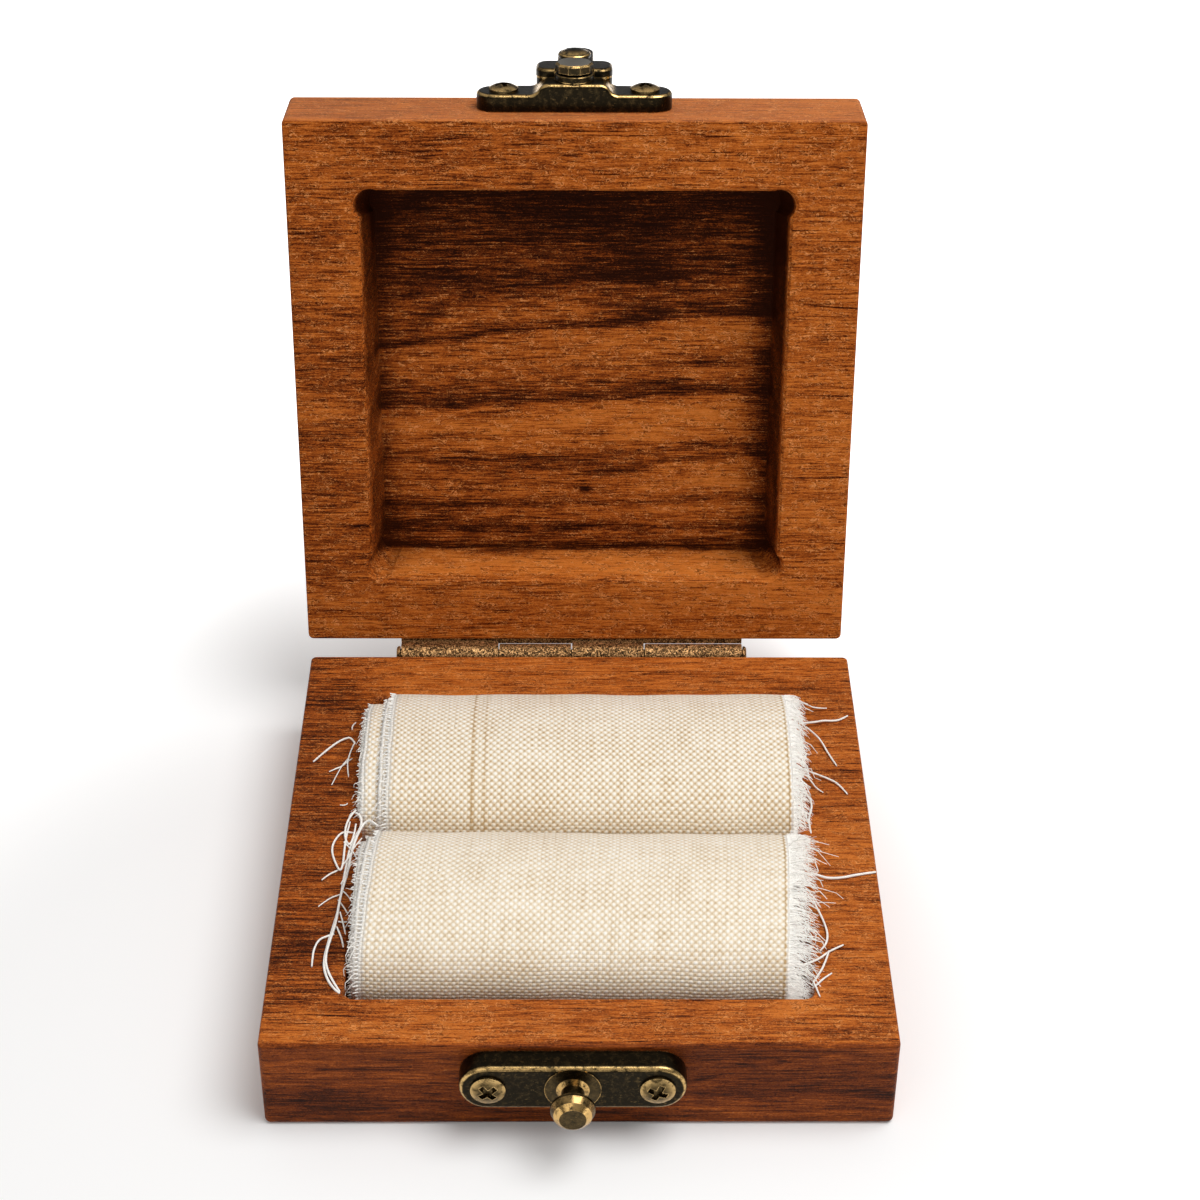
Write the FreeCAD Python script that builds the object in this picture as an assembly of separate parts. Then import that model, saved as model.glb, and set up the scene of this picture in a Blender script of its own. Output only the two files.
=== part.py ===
import FreeCAD
import Part
import math
import os
from FreeCAD import Vector

# Hinged wooden keepsake box with a swing-hook clasp and two rolls of linen, in millimetres.
# X runs to the right, Y to the back and Z up; the origin is the middle of the base's underside.
# Everything is drawn with the lid shut, then the lid and its clasp are swung open.

# Wooden blocks
box_width = 80.0
box_depth = 80.0
base_height = 14.0
lid_height = 11.5
parting_gap = 0.5        # room between the rims for a loose thread
lid_side_shift = -0.7    # the lid hangs a little to the left of the base
edge_round = 0.8         # outer edges
rim_round = 0.35         # outer edges of the two rims
lid_opening = 99.0       # degrees, as the box stands

# Routed pockets
side_wall = 10.0
back_wall = 10.0
base_front_wall = 8.5
lid_front_wall = 10.0
base_floor = 4.0
lid_roof = 4.0
lid_wall_lean = 1.6      # how far each wall of the lid's pocket leans in
base_corner = 1.5        # inside corners of the base's pocket
relief_radius = 2.3      # inside corners of the lid's pocket
relief_side_reach = 0.75 # how far a corner bulges beyond the side walls
relief_end_reach = 0.15  # and beyond the front and back walls
mouth_bevel = 0.3        # easing round each pocket's mouth

# Butt hinge on the two back faces
hinge_x = -1.2
knuckle_lengths = (14.7, 10.9, 10.9, 14.7)   # from the left: lid, base, lid, base
knuckle_radius = 1.58
knuckle_gap = 0.2
barrel_standoff = 1.75   # hinge axis behind the back faces
hinge_drop = 0.95        # hinge axis below the base's rim
leaf_thickness = 0.9
leaf_reach = 9.5         # from the axis to the leaf's far edge
leaf_clearance = 0.3
tab_clearance = 0.25     # from the back faces to the tabs that carry the knuckles
leaf_corner = 0.8
pin_radius = 0.75
pin_clearance = 0.05
pin_head_radius = 1.2
pin_head_length = 0.5
pin_end_play = 0.1
hinge_screw_pitch = 18.0
hinge_screw_reach = 6.0  # from the axis

# Screws: head radius, rim height, crown height, shank radius, length under the head
hinge_screw = {"head": 1.6, "rim": 0.3, "crown": 0.9, "shank": 0.8, "length": 6.5}
catch_screw = {"head": 2.2, "rim": 0.3, "crown": 0.85, "shank": 1.0, "length": 8.0}
latch_screw = {"head": 2.05, "rim": 0.35, "crown": 0.95, "shank": 0.9, "length": 7.5}
screw_fit = 0.02         # radial room round a shank
recess_length = 0.58     # of the head's diameter
recess_width = 0.17      # of the head's diameter
recess_depth = 0.6
screw_tip = 1.2
base_hinge_turn = 25.0   # degrees from one screw's recess to the next
lid_hinge_turn = 35.0
catch_screw_turns = (40.0, 65.0)
latch_screw_turns = (15.0, 50.0)

# Catch on the base's front face
clasp_x = -0.8
catch_length = 28.4
catch_width = 7.2
catch_thickness = 3.1
catch_z = 9.7
catch_screw_inset = 3.65 # from the plate's end
catch_round = 0.7
stud_tail_radius = 1.1
stud_tail_depth = 2.6
stud_flare_radius = 3.55
stud_flare_height = 0.6
stud_neck_radius = 1.45
stud_neck_length = 1.4
stud_cone_length = 1.2
stud_head_radius = 2.8
stud_head_length = 0.4
stud_shoulder_radius = 2.4
stud_shoulder_length = 0.9
stud_end_radius = 1.7
stud_end_length = 0.6
stud_flare_rim = 0.12
stud_flare_bend = 0.3    # how hollow the flare is, from 0 to 0.5

# Latch on the lid's front face
latch_length = 27.0
latch_width = 5.4
latch_end_thickness = 2.45
latch_rise = 1.5         # from the ends to the raised middle
latch_top_length = 7.1
latch_shoulder = 2.6     # run of each S-curved shoulder
latch_rim_distance = 3.3 # from the lid's rim to the plate's near edge
latch_screw_inset = 3.75
latch_round = 0.55
pad_inset = 0.05         # of the pad under the hub, from the hub's sides

# Swing hook
hook_thickness = 0.9
hook_gap = 0.05          # running gap under and over the hook
hub_width = 10.6
hub_front_radius = 2.7
hub_shoulder_start = 0.4 # from the pivot, along the hook
hub_reach = 5.4
hub_corner = 1.7
hub_rise = 0.35          # of the hub above the finger
hub_round = 0.6
finger_width = 4.7
finger_wall = 1.0        # metal round the slot
finger_tip_round = 2.2
lip_width = 1.2          # from the slot's middle to the hook's lip
neck_clearance = 0.2
hook_round = 0.25
bolt_clearance = 0.2     # round the bolt's head and the knob's neck, in the hub
bolt_head_radius = 2.6
bolt_head_height = 1.45
bolt_head_facets = 10
bolt_bevel = 0.25
bolt_shank_radius = 1.1
bolt_depth = 3.2         # shank below the plate's raised face
knob_reach = 5.6         # from the pivot
knob_neck_radius = 1.3
knob_neck_height = 0.6
knob_cap_radius = 2.3
knob_cap_rim = 0.8
knob_cap_height = 1.3
knob_tail_radius = 0.8

# Linen rolls
roll_height = 17.0
roll_side_radius = 7.6
roll_gap = 0.3           # between the rolls and to the walls
layer_step = 0.9         # thickness of one visible wrap
front_roll_gaps = (1.4, 2.5)   # from the pocket's left and right walls
rear_roll_gaps = (3.7, 2.5)
front_roll_slip = 0.3    # how far each inner wrap stands out on the left
rear_roll_slip = 0.95
roll_wraps = 4

front_y = -box_depth / 2
back_y = box_depth / 2
lid_rim_z = base_height + parting_gap
lid_top_z = lid_rim_z + lid_height
axis_y = back_y + barrel_standoff
axis_z = base_height - hinge_drop
latch_z = lid_rim_z + latch_rim_distance + latch_width / 2
latch_top = latch_end_thickness + latch_rise
hook_under = latch_top + hook_gap
hook_over = hook_under + hook_thickness
hook_reach = latch_z - catch_z
slot_radius = stud_neck_radius + neck_clearance
hinge_length = sum(knuckle_lengths)
hinge_screw_places = [hinge_x + k * hinge_screw_pitch for k in (-1, 0, 1)]
catch_screw_offset = catch_length / 2 - catch_screw_inset
latch_screw_offset = latch_length / 2 - latch_screw_inset
catch_screw_places = [clasp_x - catch_screw_offset, clasp_x + catch_screw_offset]
latch_screw_places = [clasp_x - latch_screw_offset, clasp_x + latch_screw_offset]


def block(x0, x1, y0, y1, z0, z1):
    return Part.makeBox(x1 - x0, y1 - y0, z1 - z0, Vector(x0, y0, z0))


def rod(radius, z0, z1, x=0.0, y=0.0):
    return Part.makeCylinder(radius, z1 - z0, Vector(x, y, z0))


def on_front(shape, x, z):
    # Local X to the right, local Y up and local Z out of the front face.
    shape = shape.copy()
    shape.rotate(Vector(0, 0, 0), Vector(1, 0, 0), 90)
    shape.translate(Vector(x, front_y, z))
    return shape


def on_back(shape, x, z):
    # Local Z out of the back face.
    shape = shape.copy()
    shape.rotate(Vector(0, 0, 0), Vector(1, 0, 0), -90)
    shape.translate(Vector(x, back_y, z))
    return shape


def line(a, b):
    return Part.LineSegment(Vector(*a), Vector(*b)).toShape()


def arc(a, middle, b):
    return Part.Arc(Vector(*a), Vector(*middle), Vector(*b)).toShape()


def arc_round(centre, radius, start, end):
    # Arc in the XY plane, from one angle to another, in degrees.
    points = []
    for degrees in (start, (start + end) / 2, end):
        turn = math.radians(degrees)
        points.append((centre[0] + radius * math.cos(turn), centre[1] + radius * math.sin(turn), 0))
    return arc(*points)


def spin(edges):
    # Turns an outline in the XZ plane about the Z axis.
    solid = Part.Face(Part.Wire(edges)).revolve(Vector(0, 0, 0), Vector(0, 0, 1), 360)
    return Part.Solid(solid) if solid.ShapeType == "Shell" else solid


def crown_edge(radius, z0, z1):
    # Shallow dome from the rim at z0 to the axis at z1.
    rise = z1 - z0
    sphere = (radius ** 2 + rise ** 2) / (2 * rise)
    middle = z1 - sphere + math.sqrt(sphere ** 2 - (radius / 2) ** 2)
    return arc((radius, 0, z0), (radius / 2, 0, middle), (0, 0, z1))


def stadium(length, width):
    half = length / 2 - width / 2
    return Part.Wire([
        line((-half, -width / 2, 0), (half, -width / 2, 0)),
        arc_round((half, 0), width / 2, -90, 90),
        line((half, width / 2, 0), (-half, width / 2, 0)),
        arc_round((-half, 0), width / 2, 90, 270),
    ])


def prism(wire, z0, z1):
    solid = Part.Face(wire).extrude(Vector(0, 0, z1 - z0))
    solid.translate(Vector(0, 0, z0))
    return solid


def flat_at(edge, z):
    box = edge.BoundBox
    return abs(box.ZMin - z) < 1e-6 and abs(box.ZMax - z) < 1e-6


def screw(size, turn):
    # Round-head screw with a cross recess; its head sits on z = 0.
    tip = size["length"] - screw_tip
    solid = spin([
        line((0, 0, -size["length"]), (size["shank"], 0, -tip)),
        line((size["shank"], 0, -tip), (size["shank"], 0, 0)),
        line((size["shank"], 0, 0), (size["head"], 0, 0)),
        line((size["head"], 0, 0), (size["head"], 0, size["rim"])),
        crown_edge(size["head"], size["rim"], size["crown"]),
        line((0, 0, size["crown"]), (0, 0, -size["length"])),
    ])
    long = recess_length * size["head"]
    wide = recess_width * size["head"]
    floor = size["crown"] - recess_depth
    cross = block(-long, long, -wide, wide, floor, size["crown"])
    cross = cross.fuse(block(-wide, wide, -long, long, floor, size["crown"]))
    cross.rotate(Vector(0, 0, 0), Vector(0, 0, 1), turn)
    return solid.cut(cross)


def pilot(size, reach):
    # Hole for a screw whose head sits at height reach above the wood.
    return rod(size["shank"] + screw_fit, reach - size["length"], reach)


def wood_block(x_middle, z0, z1, rim_z):
    half = box_width / 2
    body = block(x_middle - half, x_middle + half, front_y, back_y, z0, z1)
    body = body.makeFillet(edge_round, [e for e in body.Edges if not flat_at(e, rim_z)])
    return body.makeFillet(rim_round, [e for e in body.Edges if flat_at(e, rim_z)])


def pocket_outline(x0, x1, y0, y1, corner, z):
    wire = Part.Wire([
        line((x0 + corner, y0, 0), (x1 - corner, y0, 0)),
        arc_round((x1 - corner, y0 + corner), corner, -90, 0),
        line((x1, y0 + corner, 0), (x1, y1 - corner, 0)),
        arc_round((x1 - corner, y1 - corner), corner, 0, 90),
        line((x1 - corner, y1, 0), (x0 + corner, y1, 0)),
        arc_round((x0 + corner, y1 - corner), corner, 90, 180),
        line((x0, y1 - corner, 0), (x0, y0 + corner, 0)),
        arc_round((x0 + corner, y0 + corner), corner, 180, 270),
    ])
    wire.translate(Vector(0, 0, z))
    return wire


def eased_mouth(x0, x1, y0, y1, corner, rim_z, inward):
    # Bevel round a pocket; inward is 1 for up and -1 for down.
    b = mouth_bevel
    wide = pocket_outline(x0 - b, x1 + b, y0 - b, y1 + b, corner + b, rim_z)
    return Part.makeLoft([wide, pocket_outline(x0, x1, y0, y1, corner, rim_z + inward * b)], True)


def corner_reliefs(x0, x1, y0, y1, z0, z1):
    # Bulging corners that lean in with the walls, with their own bevel at the mouth.
    side, end = relief_radius - relief_side_reach, relief_radius - relief_end_reach
    cuts = []
    for across, x in ((1, x0), (-1, x1)):
        for along, y in ((1, y0), (-1, y1)):
            mouth = Vector(x + across * side, y + along * end, z0)
            floor = mouth + Vector(across * lid_wall_lean, along * lid_wall_lean, z1 - z0)
            rings = [Part.Wire(Part.makeCircle(relief_radius, middle)) for middle in (mouth, floor)]
            cuts.append(Part.makeLoft(rings, True))
            cuts.append(Part.makeCone(relief_radius + mouth_bevel, relief_radius, mouth_bevel, mouth))
    return cuts


def make_base_block():
    x0, x1 = -box_width / 2 + side_wall, box_width / 2 - side_wall
    y0, y1 = front_y + base_front_wall, back_y - back_wall
    body = wood_block(0, 0, base_height, base_height)
    body = body.cut(prism(pocket_outline(x0, x1, y0, y1, base_corner, 0), base_floor, base_height))
    holes = [eased_mouth(x0, x1, y0, y1, base_corner, base_height, -1)]
    for x in hinge_screw_places:
        holes.append(on_back(pilot(hinge_screw, leaf_thickness), x, axis_z - hinge_screw_reach))
    for x in catch_screw_places:
        holes.append(on_front(pilot(catch_screw, catch_thickness), x, catch_z))
    return body.cut(holes)


def make_lid_block():
    x0 = lid_side_shift - box_width / 2 + side_wall
    x1 = lid_side_shift + box_width / 2 - side_wall
    y0, y1 = front_y + lid_front_wall, back_y - back_wall
    roof_z = lid_top_z - lid_roof
    lean = lid_wall_lean
    mouth = pocket_outline(x0, x1, y0, y1, relief_radius, lid_rim_z)
    roof = pocket_outline(x0 + lean, x1 - lean, y0 + lean, y1 - lean, relief_radius, roof_z)
    body = wood_block(lid_side_shift, lid_rim_z, lid_top_z, lid_rim_z)
    body = body.cut(Part.makeLoft([mouth, roof], True))
    holes = corner_reliefs(x0, x1, y0, y1, lid_rim_z, roof_z)
    holes.append(eased_mouth(x0, x1, y0, y1, relief_radius, lid_rim_z, 1))
    for x in hinge_screw_places:
        holes.append(on_back(pilot(hinge_screw, leaf_thickness), x, axis_z + hinge_screw_reach))
    for x in latch_screw_places:
        holes.append(on_front(pilot(latch_screw, latch_end_thickness), x, latch_z))
    return body.cut(holes)


def knuckle_spans(owner):
    # Owner 0 is the lid and 1 the base; the knuckles alternate from the left.
    spans = []
    x = hinge_x - hinge_length / 2
    for index, length in enumerate(knuckle_lengths):
        if index % 2 == owner:
            spans.append((x + knuckle_gap / 2, x + length - knuckle_gap / 2))
        x += length
    return spans


def make_hinge_leaf(owner):
    side = 1 if owner == 0 else -1
    x0, x1 = hinge_x - hinge_length / 2, hinge_x + hinge_length / 2
    y0, y1 = back_y, back_y + leaf_thickness
    shoulder = axis_z + side * (knuckle_radius + leaf_clearance)
    far = axis_z + side * leaf_reach
    leaf = block(x0, x1, y0, y1, min(shoulder, far), max(shoulder, far))
    leaf = leaf.makeFillet(leaf_corner, [
        e for e in leaf.Edges if abs(e.CenterOfMass.z - far) < 1e-6 and e.Length < 2 * leaf_thickness
    ])
    bores = []
    for left, right in knuckle_spans(owner):
        place, along = Vector(left, axis_y, axis_z), Vector(1, 0, 0)
        tab = block(left, right, y0 + tab_clearance, y1, min(axis_z, shoulder), max(axis_z, shoulder))
        leaf = leaf.fuse(tab)
        leaf = leaf.fuse(Part.makeCylinder(knuckle_radius, right - left, place, along))
        bores.append(Part.makeCylinder(pin_radius + pin_clearance, right - left, place, along))
    for x in hinge_screw_places:
        bores.append(on_back(pilot(hinge_screw, leaf_thickness), x, axis_z + side * hinge_screw_reach))
    return leaf.cut(bores).removeSplitter()


def make_hinge_pin():
    half = hinge_length / 2 + pin_end_play
    end = half + pin_head_length
    pin = spin([
        line((0, 0, -end), (pin_radius, 0, -end)),
        arc((pin_radius, 0, -end), (pin_head_radius, 0, -(half + end) / 2), (pin_head_radius, 0, -half)),
        line((pin_head_radius, 0, -half), (pin_radius, 0, -half)),
        line((pin_radius, 0, -half), (pin_radius, 0, half)),
        line((pin_radius, 0, half), (pin_head_radius, 0, half)),
        arc((pin_head_radius, 0, half), (pin_head_radius, 0, (half + end) / 2), (pin_radius, 0, end)),
        line((pin_radius, 0, end), (0, 0, end)),
        line((0, 0, end), (0, 0, -end)),
    ])
    pin.rotate(Vector(0, 0, 0), Vector(0, 1, 0), 90)
    pin.translate(Vector(hinge_x, axis_y, axis_z))
    return pin


def make_catch_plate():
    plate = prism(stadium(catch_length, catch_width), 0, catch_thickness)
    plate = plate.makeFillet(catch_round, [e for e in plate.Edges if flat_at(e, catch_thickness)])
    holes = [rod(stud_tail_radius + screw_fit, catch_thickness - stud_tail_depth, catch_thickness)]
    for x in catch_screw_places:
        hole = pilot(catch_screw, catch_thickness)
        hole.translate(Vector(x - clasp_x, 0, 0))
        holes.append(hole)
    return on_front(plate.cut(holes), clasp_x, catch_z)


def make_catch_stud():
    # Radii against height above the plate's face.
    flare = stud_flare_height
    neck = flare + stud_neck_length
    cone = neck + stud_cone_length
    head = cone + stud_head_length
    shoulder = head + stud_shoulder_length
    end = shoulder + stud_end_length
    bend_radius = stud_neck_radius + (stud_flare_radius - stud_neck_radius) * stud_flare_bend
    bend = (bend_radius, 0, stud_flare_rim + (flare - stud_flare_rim) * stud_flare_bend)
    rim = (stud_flare_radius, 0, stud_flare_rim)
    stud = spin([
        line((0, 0, -stud_tail_depth), (stud_tail_radius, 0, -stud_tail_depth)),
        line((stud_tail_radius, 0, -stud_tail_depth), (stud_tail_radius, 0, 0)),
        line((stud_tail_radius, 0, 0), (stud_flare_radius, 0, 0)),
        line((stud_flare_radius, 0, 0), rim),
        line(rim, bend),
        line(bend, (stud_neck_radius, 0, flare)),
        line((stud_neck_radius, 0, flare), (stud_neck_radius, 0, neck)),
        line((stud_neck_radius, 0, neck), (stud_head_radius, 0, cone)),
        line((stud_head_radius, 0, cone), (stud_head_radius, 0, head)),
        line((stud_head_radius, 0, head), (stud_shoulder_radius, 0, shoulder)),
        line((stud_shoulder_radius, 0, shoulder), (stud_end_radius, 0, end)),
        line((stud_end_radius, 0, end), (0, 0, end)),
        line((0, 0, end), (0, 0, -stud_tail_depth)),
    ])
    stud.translate(Vector(0, 0, catch_thickness))
    return on_front(stud, clasp_x, catch_z)


def shoulder_edges(x_low, x_high):
    # S-curve of two equal arcs from the end's height up to the raised middle.
    run = x_high - x_low
    middle_x = (x_low + x_high) / 2
    middle_z = latch_end_thickness + latch_rise / 2
    radius = (run ** 2 + latch_rise ** 2) / (4 * latch_rise)
    half_turn = math.asin(abs(run) / 2 / radius) / 2
    step = math.copysign(radius * math.sin(half_turn), run)
    sag = radius * (1 - math.cos(half_turn))
    low, high = (x_low, 0, latch_end_thickness), (x_high, 0, latch_top)
    middle = (middle_x, 0, middle_z)
    return [
        arc(low, (x_low + step, 0, latch_end_thickness + sag), middle),
        arc(middle, (x_high - step, 0, latch_top - sag), high),
    ]


def make_latch_plate():
    end, top = latch_length / 2, latch_top_length / 2
    foot = top + latch_shoulder
    corners = [(end, 0, latch_end_thickness), (end, 0, 0), (-end, 0, 0), (-end, 0, latch_end_thickness)]
    outline = shoulder_edges(-foot, -top)
    outline.append(line((-top, 0, latch_top), (top, 0, latch_top)))
    outline += reversed(shoulder_edges(foot, top))
    outline.append(line((foot, 0, latch_end_thickness), corners[0]))
    outline += [line(a, b) for a, b in zip(corners, corners[1:])]
    outline.append(line(corners[3], (-foot, 0, latch_end_thickness)))
    strip = Part.Face(Part.Wire(outline)).extrude(Vector(0, latch_width, 0))
    strip.translate(Vector(0, -latch_width / 2, 0))
    plate = strip.common(prism(stadium(latch_length, latch_width), 0, latch_top))
    plate = plate.makeFillet(latch_round, [
        e for e in plate.Edges
        if e.BoundBox.ZMin > latch_end_thickness - 1e-6 and e.BoundBox.YLength < latch_width - 1e-6
    ])
    half, near = hub_width / 2 - pad_inset, hub_shoulder_start + pad_inset
    pad = block(-half, half, near, hub_reach / 2, latch_end_thickness / 2, latch_top)
    pad = pad.makeFillet(hub_corner - pad_inset, [
        e for e in pad.Edges if e.BoundBox.ZLength > latch_rise and e.BoundBox.YMin < hub_reach / 4
    ])
    plate = plate.fuse(pad)
    holes = [rod(bolt_shank_radius + screw_fit, latch_top - bolt_depth, latch_top)]
    for x in latch_screw_places:
        hole = pilot(latch_screw, latch_end_thickness)
        hole.translate(Vector(x - clasp_x, 0, 0))
        holes.append(hole)
    return on_front(plate.cut(holes), clasp_x, latch_z)


def make_swing_hook():
    # Drawn pointing up from the pivot at the origin; the slot opens on the left.
    half = hub_width / 2
    hub_top = hook_over + hub_rise
    tip = hook_reach + slot_radius + finger_wall
    left, right = -finger_width / 2, slot_radius + finger_wall
    finger = block(left, right, 0, tip, hook_under, hook_over)
    finger = finger.makeFillet(finger_tip_round, [
        e for e in finger.Edges if e.BoundBox.ZLength > hook_thickness / 2 and e.BoundBox.YMin > tip / 2
    ])
    hook = finger.fuse(rod(hub_front_radius, hook_under, hook_over))
    # The slot follows the circle that the stud's neck takes past the turning hook.
    ring = rod(hook_reach + slot_radius, hook_under, hook_over)
    ring = ring.cut(rod(hook_reach - slot_radius, hook_under, hook_over))
    slot = ring.common(block(2 * left, 0, 0, tip, hook_under, hook_over))
    slot = slot.fuse(rod(slot_radius, hook_under, hook_over, 0, hook_reach))
    slot = slot.fuse(block(2 * left, -lip_width, hook_reach, tip, hook_under, hook_over))
    hook = hook.cut(slot).removeSplitter()
    hook = hook.makeFillet(hook_round, [e for e in hook.Edges if flat_at(e, hook_over)])
    hub = block(-half, half, hub_shoulder_start, hub_reach, hook_under, hub_top)
    hub = hub.makeFillet(hub_corner, [e for e in hub.Edges if e.BoundBox.ZLength > hook_thickness / 2])
    hub = hub.makeFillet(hub_round, [e for e in hub.Edges if flat_at(e, hub_top)])
    hub = hub.cut([
        rod(bolt_head_radius + bolt_clearance, hook_over, hub_top),
        rod(knob_neck_radius + bolt_clearance, hook_over, hub_top, 0, knob_reach),
    ])
    holes = [
        rod(bolt_shank_radius + pin_clearance, hook_under, hook_over),
        rod(knob_tail_radius + screw_fit, hook_under, hook_over, 0, knob_reach),
    ]
    return on_front(hook.fuse(hub).cut(holes).removeSplitter(), clasp_x, latch_z)


def make_pivot_bolt():
    # Faceted flat-topped head over a plain shank.
    under = hook_over + hook_gap
    top = under + bolt_head_height
    step = 2 * math.pi / bolt_head_facets
    corners = [
        Vector(bolt_head_radius * math.cos(k * step), bolt_head_radius * math.sin(k * step), under)
        for k in range(bolt_head_facets)
    ]
    head = Part.Face(Part.makePolygon(corners + corners[:1])).extrude(Vector(0, 0, bolt_head_height))
    head = head.makeChamfer(bolt_bevel, [e for e in head.Edges if flat_at(e, top) or flat_at(e, under)])
    bolt = head.fuse(rod(bolt_shank_radius, latch_top - bolt_depth, under)).removeSplitter()
    return on_front(bolt, clasp_x, latch_z)


def make_thumb_knob():
    neck = hook_over + knob_neck_height
    rim = neck + knob_cap_rim
    top = neck + knob_cap_height
    knob = spin([
        line((0, 0, hook_under), (knob_tail_radius, 0, hook_under)),
        line((knob_tail_radius, 0, hook_under), (knob_tail_radius, 0, hook_over)),
        line((knob_tail_radius, 0, hook_over), (knob_neck_radius, 0, hook_over)),
        line((knob_neck_radius, 0, hook_over), (knob_neck_radius, 0, neck)),
        line((knob_neck_radius, 0, neck), (knob_cap_radius - knob_cap_rim / 2, 0, neck)),
        arc(
            (knob_cap_radius - knob_cap_rim / 2, 0, neck),
            (knob_cap_radius, 0, neck + knob_cap_rim / 2),
            (knob_cap_radius - knob_cap_rim / 2, 0, rim),
        ),
        crown_edge(knob_cap_radius - knob_cap_rim / 2, rim, top),
        line((0, 0, top), (0, 0, hook_under)),
    ])
    return on_front(knob, clasp_x, latch_z + knob_reach)


def roll_section(half_width, inset):
    # Flattened oval in local X (front to back) and Y (up), with its flat underside at Y = inset.
    side_x = half_width - roll_side_radius
    spare = roll_height - 2 * roll_side_radius
    lift = (side_x ** 2 + spare ** 2) / (2 * spare)
    crown_y = roll_height - lift - roll_side_radius
    lean = math.degrees(math.atan2(roll_side_radius - crown_y, side_x))
    small = roll_side_radius - inset
    return Part.Wire([
        line((-side_x, inset, 0), (side_x, inset, 0)),
        arc_round((side_x, roll_side_radius), small, -90, lean),
        arc_round((0, crown_y), lift + small, lean, 180 - lean),
        arc_round((-side_x, roll_side_radius), small, 180 - lean, 270),
    ])


def make_roll(y0, y1, gaps, slip):
    # Each inner wrap stands a little further out at the left end.
    half_width = (y1 - y0) / 2
    left, right = side_wall - box_width / 2 + gaps[0], box_width / 2 - side_wall - gaps[1]
    roll = None
    for wrap in range(roll_wraps):
        length = right - left + wrap * slip
        layer = Part.Face(roll_section(half_width, wrap * layer_step)).extrude(Vector(0, 0, length))
        layer.translate(Vector(0, 0, left - wrap * slip))
        roll = layer if roll is None else roll.fuse(layer)
    roll.rotate(Vector(0, 0, 0), Vector(1, 1, 1), 120)
    roll.translate(Vector(0, (y0 + y1) / 2, base_floor))
    return roll.removeSplitter()


def make_rolls():
    y0 = front_y + max(base_front_wall, lid_front_wall) + roll_gap
    y1 = back_y - back_wall - roll_gap
    middle = (y0 + y1) / 2
    return {
        "front_linen_roll": make_roll(y0, middle - roll_gap / 2, front_roll_gaps, front_roll_slip),
        "rear_linen_roll": make_roll(middle + roll_gap / 2, y1, rear_roll_gaps, rear_roll_slip),
    }


def make_base_pieces():
    pieces = {
        "base_block": make_base_block(),
        "hinge_base_leaf": make_hinge_leaf(1),
        "hinge_pin": make_hinge_pin(),
        "catch_plate": make_catch_plate(),
        "catch_stud": make_catch_stud(),
    }
    for number, x in enumerate(hinge_screw_places, 1):
        seat = screw(hinge_screw, base_hinge_turn * number)
        seat.translate(Vector(0, 0, leaf_thickness))
        pieces[f"hinge_base_screw_{number}"] = on_back(seat, x, axis_z - hinge_screw_reach)
    for side, turn, x in zip(("left", "right"), catch_screw_turns, catch_screw_places):
        seat = screw(catch_screw, turn)
        seat.translate(Vector(0, 0, catch_thickness))
        pieces[f"catch_screw_{side}"] = on_front(seat, x, catch_z)
    pieces.update(make_rolls())
    return pieces


def make_lid_pieces():
    pieces = {
        "lid_block": make_lid_block(),
        "hinge_lid_leaf": make_hinge_leaf(0),
        "latch_plate": make_latch_plate(),
        "pivot_bolt": make_pivot_bolt(),
        "swing_hook": make_swing_hook(),
        "thumb_knob": make_thumb_knob(),
    }
    for number, x in enumerate(hinge_screw_places, 1):
        seat = screw(hinge_screw, lid_hinge_turn * number)
        seat.translate(Vector(0, 0, leaf_thickness))
        pieces[f"hinge_lid_screw_{number}"] = on_back(seat, x, axis_z + hinge_screw_reach)
    for side, turn, x in zip(("left", "right"), latch_screw_turns, latch_screw_places):
        seat = screw(latch_screw, turn)
        seat.translate(Vector(0, 0, latch_end_thickness))
        pieces[f"latch_screw_{side}"] = on_front(seat, x, latch_z)
    return pieces


def main():
    os.makedirs("parts", exist_ok=True)
    pieces = make_base_pieces()
    for name, shape in make_lid_pieces().items():
        shape.rotate(Vector(0, axis_y, axis_z), Vector(1, 0, 0), -lid_opening)
        pieces[name] = shape
    for name, shape in pieces.items():
        if shape.ShapeType != "Solid":
            shape = shape.Solids[0] if len(shape.Solids) == 1 else shape
        shape.exportStep(f"parts/{name}.step")
        print(f"{name}: {len(shape.Solids)} solid, {shape.Volume:.2f} mm3, valid {shape.isValid()}")


main()
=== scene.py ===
import math
import random

import bpy
from mathutils import Matrix, Vector


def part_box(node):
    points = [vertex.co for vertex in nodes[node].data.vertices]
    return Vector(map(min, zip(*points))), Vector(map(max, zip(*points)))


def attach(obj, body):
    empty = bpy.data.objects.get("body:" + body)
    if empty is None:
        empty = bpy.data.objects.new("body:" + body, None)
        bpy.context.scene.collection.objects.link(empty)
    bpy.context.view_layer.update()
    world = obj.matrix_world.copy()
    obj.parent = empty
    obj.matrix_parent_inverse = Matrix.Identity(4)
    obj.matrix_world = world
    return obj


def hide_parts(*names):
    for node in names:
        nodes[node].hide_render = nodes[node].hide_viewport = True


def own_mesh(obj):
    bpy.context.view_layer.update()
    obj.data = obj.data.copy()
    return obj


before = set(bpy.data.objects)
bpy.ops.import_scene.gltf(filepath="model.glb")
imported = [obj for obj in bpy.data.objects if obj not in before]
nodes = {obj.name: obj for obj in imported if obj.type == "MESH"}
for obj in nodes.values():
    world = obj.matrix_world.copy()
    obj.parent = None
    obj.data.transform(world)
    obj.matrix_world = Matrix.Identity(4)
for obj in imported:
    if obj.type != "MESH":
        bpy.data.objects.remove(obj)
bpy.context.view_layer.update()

mm = 0.001
scene = bpy.context.scene
scene.view_settings.view_transform = "Standard"
print("frame loaded:", len(nodes), "nodes")


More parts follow.
